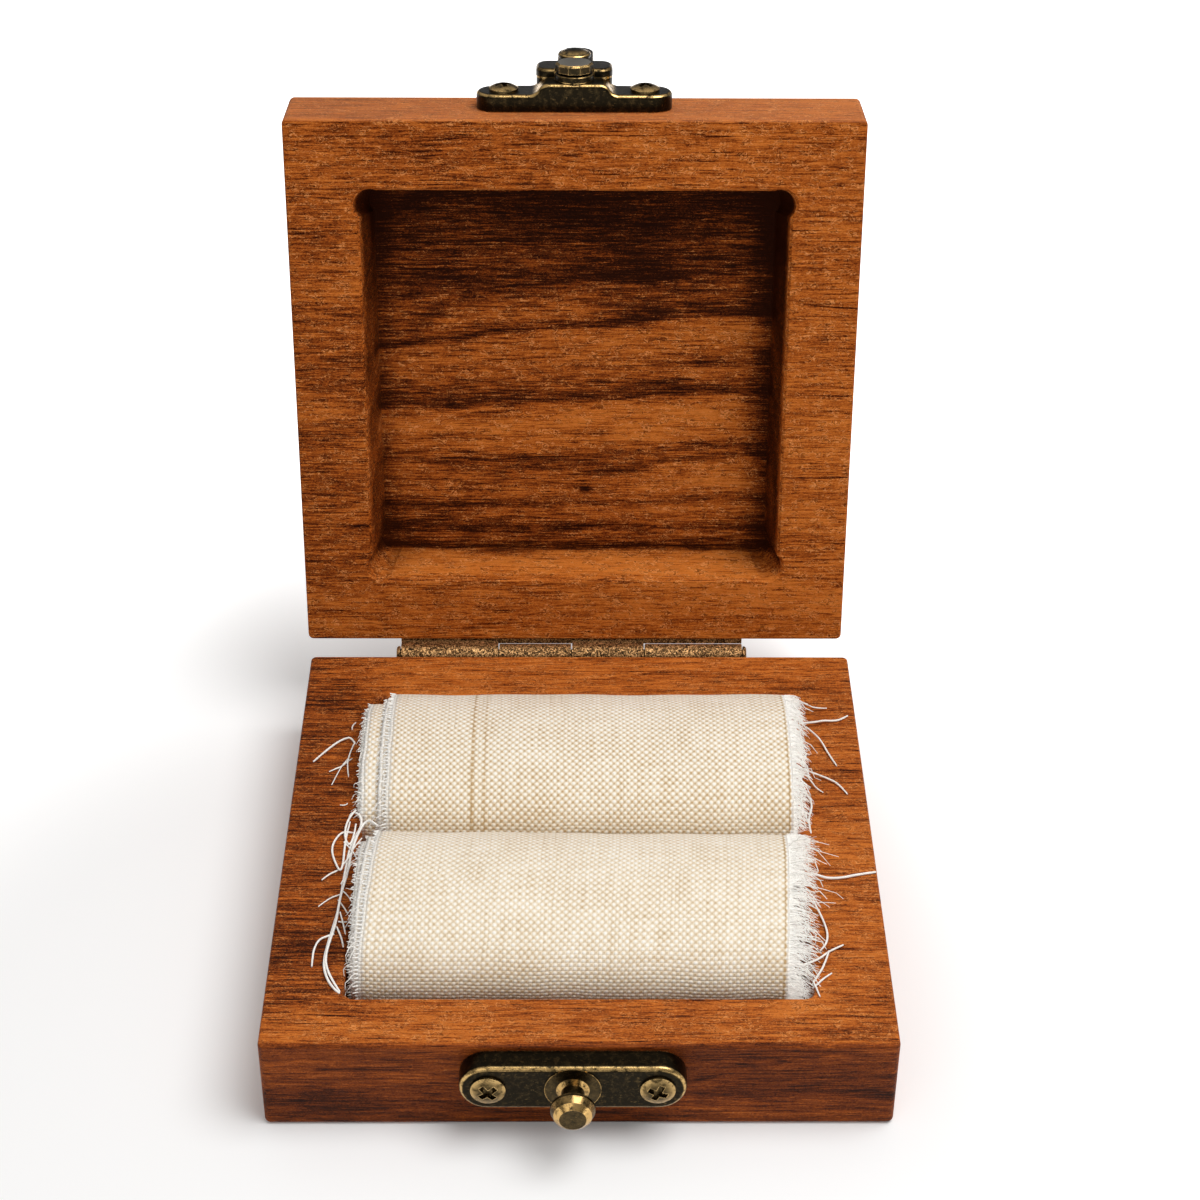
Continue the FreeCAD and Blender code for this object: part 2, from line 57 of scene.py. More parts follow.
class Sock:
    # one shader socket; operators on it add Math nodes
    def __init__(self, tree, socket=None):
        self.tree = tree
        self.socket = socket

    def make(self, kind, settings, sockets, output=0):
        node = self.tree.nodes.new(kind)
        for key, value in settings.items():
            if key == "stops":
                fillRamp(node.color_ramp, value)
            else:
                setattr(node, key, value)
        for key, value in sockets.items():
            if isinstance(value, Sock):
                self.tree.links.new(value.socket, node.inputs[key])
            else:
                node.inputs[key].default_value = value
        return Sock(self.tree, node.outputs[output])

    def math(self, operation, a, b=0.0, c=0.0, clamp=False):
        settings = {"operation": operation, "use_clamp": clamp}
        return self.make("ShaderNodeMath", settings, {0: a, 1: b, 2: c})

    def __add__(self, other):
        return self.math("ADD", self, other)

    def __radd__(self, other):
        return self.math("ADD", other, self)

    def __sub__(self, other):
        return self.math("SUBTRACT", self, other)

    def __rsub__(self, other):
        return self.math("SUBTRACT", other, self)

    def __mul__(self, other):
        return self.math("MULTIPLY", self, other)

    def __truediv__(self, other):
        return self.math("DIVIDE", self, other)

    def __pow__(self, other):
        return self.math("POWER", self, other)

    def clamped(self):
        return self.math("ADD", self, 0.0, clamp=True)

    def step(self, low, high, outLow=0.0, outHigh=1.0):
        settings = {"interpolation_type": "SMOOTHSTEP"}
        sockets = {0: self, 1: low, 2: high, 3: outLow, 4: outHigh}
        return self.make("ShaderNodeMapRange", settings, sockets)

    def ramp(self, stops):
        return self.make("ShaderNodeValToRGB", {"stops": stops}, {"Fac": self})

    def mixed(self, other, factor):
        return self.make("ShaderNodeMix", {"data_type": "RGBA"}, {0: factor, 6: self, 7: other}, 2)

    def parts(self):
        split = self.make("ShaderNodeSeparateXYZ", {}, {0: self})
        outs = split.socket.node.outputs
        return [Sock(self.tree, outs[k]) for k in range(3)]

    def vector(self, x, y, z):
        return self.make("ShaderNodeCombineXYZ", {}, {0: x, 1: y, 2: z})

    def noise(self, vector, scale=1.0, detail=2.0, rough=0.5, twist=0.0):
        sockets = {"Vector": vector, "Scale": scale, "Detail": detail,
                   "Roughness": rough, "Distortion": twist}
        return self.make("ShaderNodeTexNoise", {}, sockets, "Fac")


def fillRamp(ramp, stops):
    ramp.elements.remove(ramp.elements[1])
    ramp.elements[0].position = stops[0][0]
    ramp.elements[0].color = (*stops[0][1], 1.0)
    for place, colour in stops[1:]:
        stop = ramp.elements.new(place)
        stop.color = (*colour, 1.0)


def newMaterial(name, fixed):
    material = bpy.data.materials.new(name)
    material.use_nodes = True
    shader = material.node_tree.nodes["Principled BSDF"]
    for key, value in fixed.items():
        shader.inputs[key].default_value = value
    return material, shader, Sock(material.node_tree)


def feed(shader, socket, value):
    value.tree.links.new(value.socket, shader.inputs[socket])


def objectPlace(start, turn=None):
    # the piece's own place in millimetres
    place = start.make("ShaderNodeTexCoord", {}, {}, "Object")
    if turn:
        place = start.make("ShaderNodeMapping", {"vector_type": "POINT"},
                           {"Vector": place, "Location": turn["shift"], "Rotation": turn["angles"]})
    return start.make("ShaderNodeVectorMath", {"operation": "SCALE"}, {0: place, "Scale": 1000.0})


def bump(shader, height, strength, distance):
    sockets = {"Strength": strength, "Distance": distance, "Height": height}
    feed(shader, "Normal", height.make("ShaderNodeBump", {}, sockets, "Normal"))


def dot(a, b):
    return a.make("ShaderNodeVectorMath", {"operation": "DOT_PRODUCT"}, {0: a, 1: b}, "Value")


def openness(start, distance):
    settings = {"samples": 6, "only_local": True}
    return start.make("ShaderNodeAmbientOcclusion", settings, {"Distance": distance}, "AO")


# Camera, fitted to the corners of the two rims
view = {"place": (-0.12, -263.98, 245.13), "pitch": 35.985, "yaw": 0.587, "roll": 0.397,
        "focal": 2555.46, "frame": 1200.0}


def cameraAxes():
    pitch, yaw, roll = (math.radians(view[k]) for k in ("pitch", "yaw", "roll"))
    ahead = Vector((math.sin(yaw) * math.cos(pitch), math.cos(yaw) * math.cos(pitch), -math.sin(pitch)))
    right = Vector((math.cos(yaw), -math.sin(yaw), 0.0))
    up = right.cross(ahead)
    side = right * math.cos(roll) + up * math.sin(roll)
    top = up * math.cos(roll) - right * math.sin(roll)
    return side, top, ahead


def makeCamera():
    side, top, ahead = cameraAxes()
    data = bpy.data.cameras.new("photoCamera")
    data.sensor_width = 36.0
    data.lens = 36.0 * view["focal"] / view["frame"]
    data.clip_start = 0.01
    camera = bpy.data.objects.new("photoCamera", data)
    turn = Matrix((side, top, -ahead)).transposed().to_4x4()
    camera.matrix_world = Matrix.Translation(Vector(view["place"]) * mm) @ turn
    scene.collection.objects.link(camera)
    scene.camera = camera


def underPixel(px, py, z):
    # the point at height z that the photograph shows at a pixel, in millimetres
    side, top, ahead = cameraAxes()
    half = view["frame"] / 2
    ray = ahead + side * ((px - half) / view["focal"]) + top * ((half - py) / view["focal"])
    start = Vector(view["place"])
    return start + ray * ((z - start.z) / ray.z)


makeCamera()
print("camera set")

# Light: a wide soft lamp high on the right, a weak one on the left, pale surroundings
lamps = {
    "keyLamp": {"place": (0.22, -0.08, 0.58), "size": 0.46, "watts": 2.85},
    "fillLamp": {"place": (-0.22, -0.50, 0.36), "size": 0.45, "watts": 0.4},
}
lampAim = (0.0, 0.01, 0.03)
surroundings = {"colour": (1.0, 0.985, 0.965), "low": 0.13, "high": 0.50}
floorLook = {"half": 1.6, "colour": (0.90, 0.90, 0.90), "lift": 0.04, "white": 0.9,
             "middle": (-0.020, -0.034, 0.0), "near": 0.062, "far": 0.160}


def makeLamps():
    for name, lamp in lamps.items():
        data = bpy.data.lights.new(name, "AREA")
        data.shape = "DISK"
        data.size = lamp["size"]
        data.energy = lamp["watts"]
        obj = bpy.data.objects.new(name, data)
        place = Vector(lamp["place"])
        aim = Vector(lampAim) - place
        obj.matrix_world = Matrix.Translation(place) @ aim.to_track_quat("-Z", "Y").to_matrix().to_4x4()
        scene.collection.objects.link(obj)


def makeWorld():
    world = bpy.data.worlds.new("paleRoom")
    scene.world = world
    world.use_nodes = True
    tree = world.node_tree
    start = Sock(tree)
    back = tree.nodes["Background"]
    path = start.make("ShaderNodeLightPath", {}, {}, "Is Camera Ray")
    seen = start.math("MAXIMUM", path, Sock(tree, path.socket.node.outputs["Is Transmission Ray"]))
    back.inputs["Color"].default_value = (*surroundings["colour"], 1.0)
    height = start.make("ShaderNodeTexCoord", {}, {}, "Generated").parts()[2]   # dim walls, pale ceiling
    room = height.step(0.0, 0.9, surroundings["low"], surroundings["high"])
    strength = seen + (1.0 - seen) * room
    tree.links.new(strength.socket, back.inputs["Strength"])


def makeFloor():
    half = floorLook["half"]
    mesh = bpy.data.meshes.new("floor")
    corners = [(-half, -half, 0), (half, -half, 0), (half, half, 0), (-half, half, 0)]
    mesh.from_pydata(corners, [], [(0, 1, 2, 3)])
    floor = bpy.data.objects.new("floor", mesh)
    scene.collection.objects.link(floor)
    fixed = {"Base Color": (*floorLook["colour"], 1.0), "Roughness": 0.9, "Specular IOR Level": 0.0}
    material, shader, start = newMaterial("paleFloor", fixed)
    path = start.make("ShaderNodeLightPath", {}, {}, "Is Camera Ray")
    seen = start.math("MAXIMUM", path, Sock(path.tree, path.socket.node.outputs["Is Glossy Ray"]))
    place = start.make("ShaderNodeTexCoord", {}, {}, "Object")
    away = start.make("ShaderNodeVectorMath", {"operation": "DISTANCE"},
                      {0: place, 1: floorLook["middle"]}, "Value")
    # the floor glows for camera and glossy rays, faintly near the box and white further out: painted light
    # that fades its shadows away from the box
    lift = away.step(floorLook["near"], floorLook["far"], floorLook["lift"], floorLook["white"])
    glow = start.make("ShaderNodeEmission", {}, {"Color": (1, 1, 1, 1), "Strength": seen * lift})
    both = start.make("ShaderNodeAddShader", {}, {0: Sock(start.tree, shader.outputs[0]), 1: glow})
    output = material.node_tree.nodes["Material Output"]
    start.tree.links.new(both.socket, output.inputs["Surface"])
    mesh.materials.append(material)


makeLamps()
makeWorld()
makeFloor()
print("lamps and floor set")

# Wood: grain along X on every face; the lid's pattern is turned back with the lid
hinge = {"y": 0.04175, "z": 0.01305, "opening": 99.0}
woodLook = {
    "deep": (0.018, 0.0036, 0.0008),
    "dark": (0.042, 0.0082, 0.0015),
    "brown": (0.185, 0.037, 0.0052),
    "mid": (0.390, 0.090, 0.0112),
    "light": (0.590, 0.172, 0.027),
    "fleck": (0.740, 0.290, 0.085),
    "pore": (0.040, 0.0082, 0.0018),
    "paintedSheen": (0.560, 0.235, 0.115),
    "cavity": 0.009,
}
woodStops = [(0.02, "deep"), (0.17, "dark"), (0.37, "brown"), (0.56, "mid"), (0.81, "light")]
# noise in the wood: frequency along x and across it, start along x, detail, roughness, twist
grainNoise = {
    "slow": (0.022, 0.060, 0.0, 2.0, 0.5, 0.0),
    "fibre": (0.17, 3.1, 0.0, 5.0, 0.74, 0.8),
    "curl": (1.5, 3.0, 0.0, 2.0, 0.60, 2.6),
    "stroke": (0.09, 2.6, 11.0, 2.0, 0.5, 1.2),
    "pores": (0.42, 4.2, 31.0, 1.0, 0.5, 0.0),
    "flecks": (1.2, 3.0, 77.0, 2.0, 0.5, 2.8),
    "mottle": (0.06, 0.12, 0.0, 2.0, 0.5, 0.0),
    "worm": (1.0, 1.7, 5.0, 1.0, 0.5, 1.2),
    "patch": (0.50, 0.90, 51.0, 1.0, 0.5, 0.0),
}
# noise along the growth rings: frequency along x and across the rings, level, detail, roughness
ringNoise = {"band": (0.010, 0.16, 3.1, 3.0, 0.55), "streak": (0.024, 0.80, 7.7, 4.0, 0.60)}
# bands on the lid's pocket floor: y at x = 0, rise along x, soft width, depth of tone, x from, x to
lidBands = [
    (-7.4, -0.083, 1.3, 0.44, -40, 12),
    (-8.0, -0.083, 4.0, 0.40, 6, 40),
    (-14.5, -0.12, 3.0, 0.20, 0, 40),
    (4.3, -0.020, 3.2, 0.38, -40, 40),
    (0.0, -0.06, 2.4, 0.20, 10, 40),
    (16.0, -0.045, 1.3, 0.30, 4, 40),
    (13.3, -0.02, 0.8, 0.16, -40, 40),
    (20.9, 0.0, 1.2, 0.26, -40, 40),
    (24.6, 0.01, 1.1, 0.30, -40, 40),
    (27.9, 0.0, 1.6, 0.40, -40, 40),
]
# softer marks of the same kind, lighter or darker on both sides of their line; the first is a painted shadow
# cast by the pocket's top wall
lidGlows = [
    (-26.0, 0.0, 9.0, -0.24, -40, 40),
    (-15.5, -0.06, 3.2, -0.18, -24, 20),
    (-10.4, -0.08, 1.8, 0.18, -18, 4),
    (-4.8, -0.07, 1.6, 0.10, -40, 40),
    (8.0, -0.02, 2.4, 0.27, -40, 26),
    (11.2, -0.02, 1.6, 0.26, -20, 20),
    (18.6, 0.0, 1.2, 0.12, -40, 40),
]
lidMarks = {"knot": (0.8, 18.2, 1.5, 0.8, 0.75), "crack": (-13.4, 0.075, 0.10, 0.55, 30.6)}


def lidTurn():
    angle = math.radians(hinge["opening"])
    axis = Vector((0.0, hinge["y"], hinge["z"]))
    shift = axis - Matrix.Rotation(angle, 3, "X") @ axis
    return {"shift": tuple(shift), "angles": (angle, 0.0, 0.0)}


def within(x, xFrom, xTo):
    mask = 1.0
    if xFrom > -40:
        mask = x.step(xFrom - 6.0, xFrom + 6.0)
    if xTo < 40:
        mask = x.step(xTo + 6.0, xTo - 6.0) * mask
    return mask


def bandMask(x, y, band):
    # dark along its line, crisp on the hinge side and fading the other way
    line, rise, width, depth, xFrom, xTo = band
    past = y - x * rise - line
    fade = past.math("MINIMUM", past, 0.0) / width
    return (fade * fade + 1.0) ** -1.6 * past.step(0.8, -0.3) * depth * within(x, xFrom, xTo)


def glowMask(x, y, glow):
    line, rise, width, depth, xFrom, xTo = glow
    past = (y - x * rise - line) / width
    return (past * past + 1.0) ** -2.0 * depth * within(x, xFrom, xTo)


def grainField(start, x, y, z):
    field = {}
    for name, (along, across, begin, detail, rough, twist) in grainNoise.items():
        place = start.vector(x * along + begin, y * across, z * across)
        field[name] = start.noise(place, 1.0, detail, rough, twist)
    ring = y * 0.45 + z * 0.80 + (field["slow"] - 0.5) * 16.0
    for name, (along, across, level, detail, rough) in ringNoise.items():
        field[name] = start.noise(start.vector(x * along, ring * across, level), 1.0, detail, rough)
    return field


def lidTone(start, tone, look, field, x, y, z):
    # the lid's own bands, knot and crack, and painted shade and light in its pocket
    spanX, spanY = start.math("ABSOLUTE", x + 0.7), start.math("ABSOLUTE", y)
    hollow = spanX.step(32.5, 31.5) * spanY.step(32.5, 31.5) * z.step(23.4, 22.6)
    pocket = z.step(18.5, 21.5) * hollow
    inside = z.step(14.8, 16.8) * hollow
    wobble = y + (field["slow"] - 0.5) * 6.0 + (field["streak"] - 0.5) * 2.2
    for item in lidBands:
        tone = tone - bandMask(x, wobble, item) * pocket
    for item in lidGlows:
        tone = tone + glowMask(x, wobble, item) * pocket
    knotX, knotY, knotLong, knotWide, knotDepth = lidMarks["knot"]
    u, v = (x - knotX) / knotLong, (wobble - knotY) / knotWide
    tone = tone - (u * u + v * v + 1.0) ** -2.5 * knotDepth * pocket
    crackY, crackRise, crackWide, crackDepth, crackFrom = lidMarks["crack"]
    across = (y - crackY - (x - 31.0) * crackRise + (field["fibre"] - 0.5) * 0.5) / crackWide
    crack = (across * across + 1.0) ** -1.0 * crackDepth * x.step(crackFrom, crackFrom + 1.5)
    tone = tone - crack * z.step(17.0, 15.0)
    # painted shade inside the pocket, deepest by its right wall, weaker by its left wall
    paintedWallShade = look["pocketPaintedShade"] + x.step(23.0, 28.5) * 0.47 + x.step(-26.0, -29.0) * 0.18
    # then a painted shadow from the pocket's top wall down its floor
    tone = tone - inside * paintedWallShade - inside * y.step(-8.0, -29.0) * 0.24
    # painted light on the pocket's lit bottom ledge
    tone = tone + y.step(27.2, 28.4) * z.step(22.2, 20.5) * inside * 0.34
    # lighter to the right and darker to the left: painted light; and lighter towards the hinge end
    return tone + x.step(-40.0, 40.0, -0.07, 0.07) + y.step(28.0, 34.0) * 0.10


def makeWood(name, look, turn=None):
    # the base's pattern or, with a turn, the lid's
    material, shader, start = newMaterial(name, {"Specular IOR Level": look["gloss"]})
    x, y, z = objectPlace(start, turn).parts()
    field = grainField(start, x + look["shift"], y, z)
    fibre, curl, flecks, worm = (field[key] for key in ("fibre", "curl", "flecks", "worm"))
    detail = (fibre - 0.5) * 2.3 + (curl - 0.5) * 1.3 - field["stroke"].step(0.57, 0.70) * 0.34
    curls = field["patch"].step(0.46, 0.56) * look["curls"]
    if not turn:
        detail = detail * y.step(-39.0, -39.9, 1.0, look["frontGrain"])
        curls = curls * y.step(-39.0, -39.9, 1.0, look["frontCurls"])
    tone = look["level"] + (field["band"] - 0.5) * look["band"] + (field["streak"] - 0.5) * look["streak"]
    tone = tone + (field["mottle"] - 0.5) * 0.42 + detail
    if turn:
        # painted light and a painted sheen on the lid's front face
        front = y.step(-39.6, -39.95)
        tone = lidTone(start, tone, look, field, x, y, z) + front * look["frontPaintedLight"]
    else:
        # the base's left rim darker: partly dark streaks in the wood, partly painted shade
        leftRim = x.step(-24.0, -36.0) * z.step(12.5, 13.9) * y.step(-37.0, -27.0)
        # the base's front face darker: painted shade
        tone = tone - y.step(-39.0, -39.9) * look["frontPaintedShade"] - leftRim * look["leftStreakAndShade"]
    colour = (tone * 0.8 + 0.12).ramp([(place, woodLook[key]) for place, key in woodStops])
    pale, dark = (*woodLook["fleck"], 1.0), (*woodLook["pore"], 1.0)
    poreMask = field["pores"].step(0.62, 0.74)
    colour = colour.mixed(pale, flecks.step(0.60, 0.72) * tone.step(0.30, 0.62) * 0.55)
    colour = colour.mixed(dark, poreMask * 0.50)
    # fine hairs of raised fibre, pale beside dark
    colour = colour.mixed(dark, start.math("ABSOLUTE", worm - 0.44).step(0.050, 0.012) * curls * 0.8)
    hairs = start.math("ABSOLUTE", worm - 0.52).step(0.045, 0.012)
    colour = colour.mixed(pale, hairs * tone.step(0.10, 0.55) * curls)
    # the painted sheen on the lid's front face
    if turn:
        colour = colour.mixed((*woodLook["paintedSheen"], 1.0), front * look["frontPaintedSheen"])
    # painted shade in the wood's hollows and inner corners, from occlusion
    grimeAndCavityShade = openness(start, woodLook["cavity"])
    colour = colour.mixed((*woodLook["dark"], 1.0), grimeAndCavityShade.step(0.80, 0.25, 0.0, 0.75))
    feed(shader, "Base Color", colour)
    feed(shader, "Roughness", 0.50 + (fibre - 0.5) * 0.3 + poreMask * 0.15)
    height = fibre * 0.9 + curl * 0.6 - poreMask * 0.7 + flecks * 0.5
    bump(shader, height, 0.60, 0.00011)
    return material


def dress(name, material):
    mesh = nodes[name].data
    mesh.materials.clear()
    mesh.materials.append(material)


baseGrain = {"shift": 0.0, "level": 0.58, "band": 0.45, "streak": 0.60, "gloss": 0.09, "curls": 0.60,
             "frontPaintedShade": 0.29, "frontGrain": 0.55, "frontCurls": 0.1, "leftStreakAndShade": 0.27}
lidGrain = {"shift": 140.0, "level": 0.52, "band": 0.40, "streak": 0.55, "gloss": 0.03, "curls": 0.75,
            "frontPaintedLight": 0.12, "frontPaintedSheen": 0.24, "pocketPaintedShade": 0.05}
baseWood = makeWood("oiledWoodBase", baseGrain)
lidWood = makeWood("oiledWoodLid", lidGrain, turn=lidTurn())
dress("base_block", baseWood)
dress("lid_block", lidWood)
print("wood dressed")

# Metal: dark antiqued brass, rubbed bright along its edges; its rounded faces are bright partly from wear,
# partly as a painted highlight
lidOut = tuple(Matrix.Rotation(math.radians(-hinge["opening"]), 3, "X") @ Vector((0.0, -1.0, 0.0)))
brassLook = {"dark": (0.016, 0.0125, 0.007), "worn": (0.66, 0.43, 0.165),
             "rub": 0.00030, "rough": 0.36, "cavity": 0.0012}
screwLook = {"dark": (0.070, 0.048, 0.020), "worn": (0.68, 0.45, 0.180),
             "rub": 0.00022, "rough": 0.34, "cavity": 0.0010}
# the bolt's top colour is a painted reflection of the pale surroundings on its flat top face
boltLook = {"dark": (0.030, 0.023, 0.012), "worn": (0.66, 0.43, 0.165), "top": (0.46, 0.43, 0.37),
            "rub": 0.00025, "rough": 0.32, "cavity": 0.0010}
studLook = {"dark": (0.030, 0.023, 0.012), "worn": (0.70, 0.44, 0.160),
            "rub": 0.00020, "rough": 0.30, "cavity": 0.0022}
hingeLook = {"dark": (0.026, 0.016, 0.007), "mid": (0.265, 0.132, 0.045), "bright": (0.82, 0.49, 0.21)}
scratchStretch = (1.2, 7.0, 2.4)


def makeBrass(name, look, out, rubAll=0.0, roundWearAndGlint=1.0):
    # out is the direction that the piece's face looks, so that its rounded edges can be told apart
    material, shader, start = newMaterial(name, {"Metallic": 1.0})
    place = objectPlace(start)
    face = start.make("ShaderNodeNewGeometry", {}, {}, "Normal")
    eased = start.make("ShaderNodeBevel", {"samples": 6}, {"Radius": look["rub"]})
    meet = dot(face, eased)
    lean = dot(start.make("ShaderNodeTexCoord", {}, {}, "Normal"), out)
    # rounded faces turn bright: rubbed wear and a painted highlight
    rounded = lean.step(0.25, 0.60) * lean.step(0.99, 0.86) * roundWearAndGlint
    edge = start.math("MAXIMUM", (1.0 - meet).step(0.008, 0.12), rounded)
    grimeAndCavityShade = start.noise(place, 1.3, 4.0, 0.6)
    fine = start.noise(place, 6.0, 3.0, 0.6)
    stretched = start.make("ShaderNodeVectorMath", {"operation": "MULTIPLY"}, {0: place, 1: scratchStretch})
    scratch = start.noise(stretched, 1.6, 2.0, 0.5, 1.0)
    worn = edge * grimeAndCavityShade.step(0.28, 0.55) * 0.95 + scratch.step(0.63, 0.72) * 0.14
    worn = worn + (fine - 0.5) * 0.16 + (grimeAndCavityShade - 0.5) * 0.30 + rubAll
    cavity = openness(start, look["cavity"])
    worn = (worn - cavity.step(0.85, 0.35) * 0.6).clamped()
    middle = tuple(0.6 * a + 0.4 * b for a, b in zip(look["dark"], look["worn"]))
    colour = worn.ramp([(0.0, look["dark"]), (0.42, middle), (0.9, look["worn"])])
    # a pale painted reflection on the flat top face
    if "top" in look:
        colour = colour.mixed((*look["top"], 1.0), lean.step(0.95, 0.99) * 0.9)
    feed(shader, "Base Color", colour)
    feed(shader, "Roughness", look["rough"] - worn * 0.14 + (fine - 0.5) * 0.2)
    bump(shader, fine + grimeAndCavityShade * 0.8, 0.25, 0.00006)
    return material


def makeHingeBrass(name):
    material, shader, start = newMaterial(name, {"Metallic": 0.85})
    place = objectPlace(start)
    worm = start.noise(place, 2.6, 2.0, 0.5, 1.5)
    fine = start.noise(place, 6.0, 2.0, 0.6)
    tone = worm + (fine - 0.5) * 0.5
    colour = tone.ramp([(0.38, hingeLook["dark"]), (0.52, hingeLook["mid"]), (0.66, hingeLook["bright"])])
    feed(shader, "Base Color", colour)
    feed(shader, "Roughness", 0.58 - (tone - 0.5) * 0.6)
    bump(shader, tone, 0.8, 0.00012)
    return material


ahead = (0.0, -1.0, 0.0)
catchBrass = makeBrass("antiquedBrassCatch", brassLook, ahead)
latchBrass = makeBrass("antiquedBrassLatch", brassLook, lidOut)
hookBrass = makeBrass("antiquedBrassHook", brassLook, lidOut, roundWearAndGlint=0.45)
studBrass = makeBrass("studBrass", studLook, ahead, rubAll=0.06)
catchScrewBrass = makeBrass("catchScrewBrass", screwLook, ahead)
latchScrewBrass = makeBrass("latchScrewBrass", screwLook, lidOut)
boltBrass = makeBrass("boltBrass", boltLook, lidOut)
hingeBrass = makeHingeBrass("grainyBrass")
metals = {
    "catch_plate": catchBrass, "catch_stud": studBrass, "catch_screw": catchScrewBrass,
    "latch_plate": latchBrass, "latch_screw": latchScrewBrass, "pivot_bolt": boltBrass,
    "swing_hook": hookBrass, "thumb_knob": latchBrass, "hinge": hingeBrass,
}
for name in nodes:
    for key, material in metals.items():
        if name.startswith(key):
            dress(name, material)
print("metal dressed")

# Linen: two wound strips of plain-woven cloth
linenLook = {
    "shade": (0.51, 0.340, 0.168),
    "thread": (0.880, 0.768, 0.595),
    "high": (1.000, 0.968, 0.908),
    "edge": (1.0, 0.985, 0.950),
    "pitch": 0.51,
    "speck": (0.16, 0.095, 0.045),
}


def makeLinen(name, roll):
    fixed = {"Roughness": 0.92, "Specular IOR Level": 0.10, "Sheen Weight": 0.15}
    material, shader, start = newMaterial(name, fixed)
    cloth = start.make("ShaderNodeUVMap", {"uv_map": "weave"}, {})
    flat = start.make("ShaderNodeVectorMath", {"operation": "SCALE"}, {0: cloth, "Scale": 1000.0})
    along, across, _ = flat.parts()
    drift = start.noise(start.vector(along * 0.12, across * 0.12, 1.0), 1.0, 2.0)
    sway = start.noise(start.vector(along * 0.12, across * 0.12, 9.0), 1.0, 2.0)
    u = (along + (drift - 0.5) * 0.9) / linenLook["pitch"]
    v = (across + (sway - 0.5) * 0.9) / linenLook["pitch"]
    bowU = start.math("ABSOLUTE", start.math("SINE", u * math.pi))
    bowV = start.math("ABSOLUTE", start.math("SINE", v * math.pi))
    over = start.math("SINE", u * math.pi) * start.math("SINE", v * math.pi)
    holes = ((1.0 - bowU) * (1.0 - bowV)) ** 0.7       # between four threads
    tops = (bowU * bowV) ** 0.6
    slubU = start.noise(start.vector(along * 2.1, across * 0.12, 4.0), 1.0, 1.0)
    slubV = start.noise(start.vector(along * 0.12, across * 2.1, 14.0), 1.0, 1.0)
    cloud = start.noise(start.vector(along * 0.07, across * 0.07, 2.0), 1.0, 3.0)
    tone = 0.60 + over * roll["contrast"] - holes * 0.22
    tone = tone + (slubU - 0.5) * 0.34 + (slubV - 0.5) * 0.34 + (cloud - 0.5) * 0.26
    # painted shade along the creases
    for place, width, depth in roll["paintedCreases"]:
        line = (across - place) / width
        tone = tone - (line * line + 1.0) ** -2.0 * depth * slubU.step(0.25, 0.55)
    side = (along - roll["paintedShadeAt"]) / 9.0              # painted shade on the lower side towards the viewer
    tone = tone - (side * side + 1.0) ** -2.0 * 0.13
    seam = (across - roll["width"] + 0.55) / 0.16        # last full thread before the fringe
    tone = tone - (seam * seam + 1.0) ** -2.0 * 0.35
    colour = tone.ramp([(0.08, linenLook["shade"]), (0.50, linenLook["thread"]), (0.92, linenLook["high"])])
    rim = across.step(1.0, 0.2) + across.step(roll["width"] - 0.45, roll["width"] - 0.1)
    colour = colour.mixed((*linenLook["edge"], 1.0), rim * (0.50 + tops * 0.45))
    specks = start.noise(start.vector(along * 0.9, across * 0.9, 21.0), 1.0, 1.0).step(0.80, 0.82)
    colour = colour.mixed((*linenLook["speck"], 1.0), specks * 0.7)
    feed(shader, "Base Color", colour)
    bump(shader, tops + over * 0.35 - holes * 0.6 + (slubU + slubV) * 0.3, 0.6, 0.00012)
    return material


def makeThreadLook(name, colour):
    fixed = {"Roughness": 0.9, "Specular IOR Level": 0.1, "Sheen Weight": 0.5}
    material, shader, start = newMaterial(name, fixed)
    tone = start.noise(objectPlace(start), 2.2, 3.0, 0.6)
    shade = tone.ramp([(0.3, tuple(c * 0.84 for c in colour)), (0.7, colour)])
    feed(shader, "Base Color", shade)
    return material


# slips are (turns, distance): how far the strip's left end stands out at that many wraps inwards
rolls = {
    "front": {
        "node": "front_linen_roll", "left": -27.2, "width": 55.2, "fall": 0.055, "seed": 11, "contrast": 0.34,
        "paintedShadeAt": 52.0, "fringe": 1.4, "paintedCreases": (),
        "slips": ((0.3, 0.0), (0.78, 1.3), (1.3, 1.3), (1.78, 2.0), (2.5, 2.2), (8.0, 2.4)),
    },
    "rear": {
        "node": "rear_linen_roll", "left": -26.7, "width": 56.1, "fall": 0.0, "seed": 23, "contrast": 0.44,
        "paintedShadeAt": 50.0, "fringe": 1.0, "paintedCreases": ((11.9, 0.26, 0.50), (13.6, 0.22, 0.34)),
        "slips": ((1.0, 0.0), (1.18, 1.05), (2.0, 1.05), (2.18, 3.5), (3.0, 3.6), (3.2, 3.9), (8.0, 4.1)),
    },
}
rollShape = {"sideRadius": 7.6, "thickness": 0.40, "layerStep": 0.72, "wraps": 7.6, "start": 0.02,
             "across": 40, "along": 0.85, "shortest": 20.0, "inset": 0.26, "ease": 0.10}


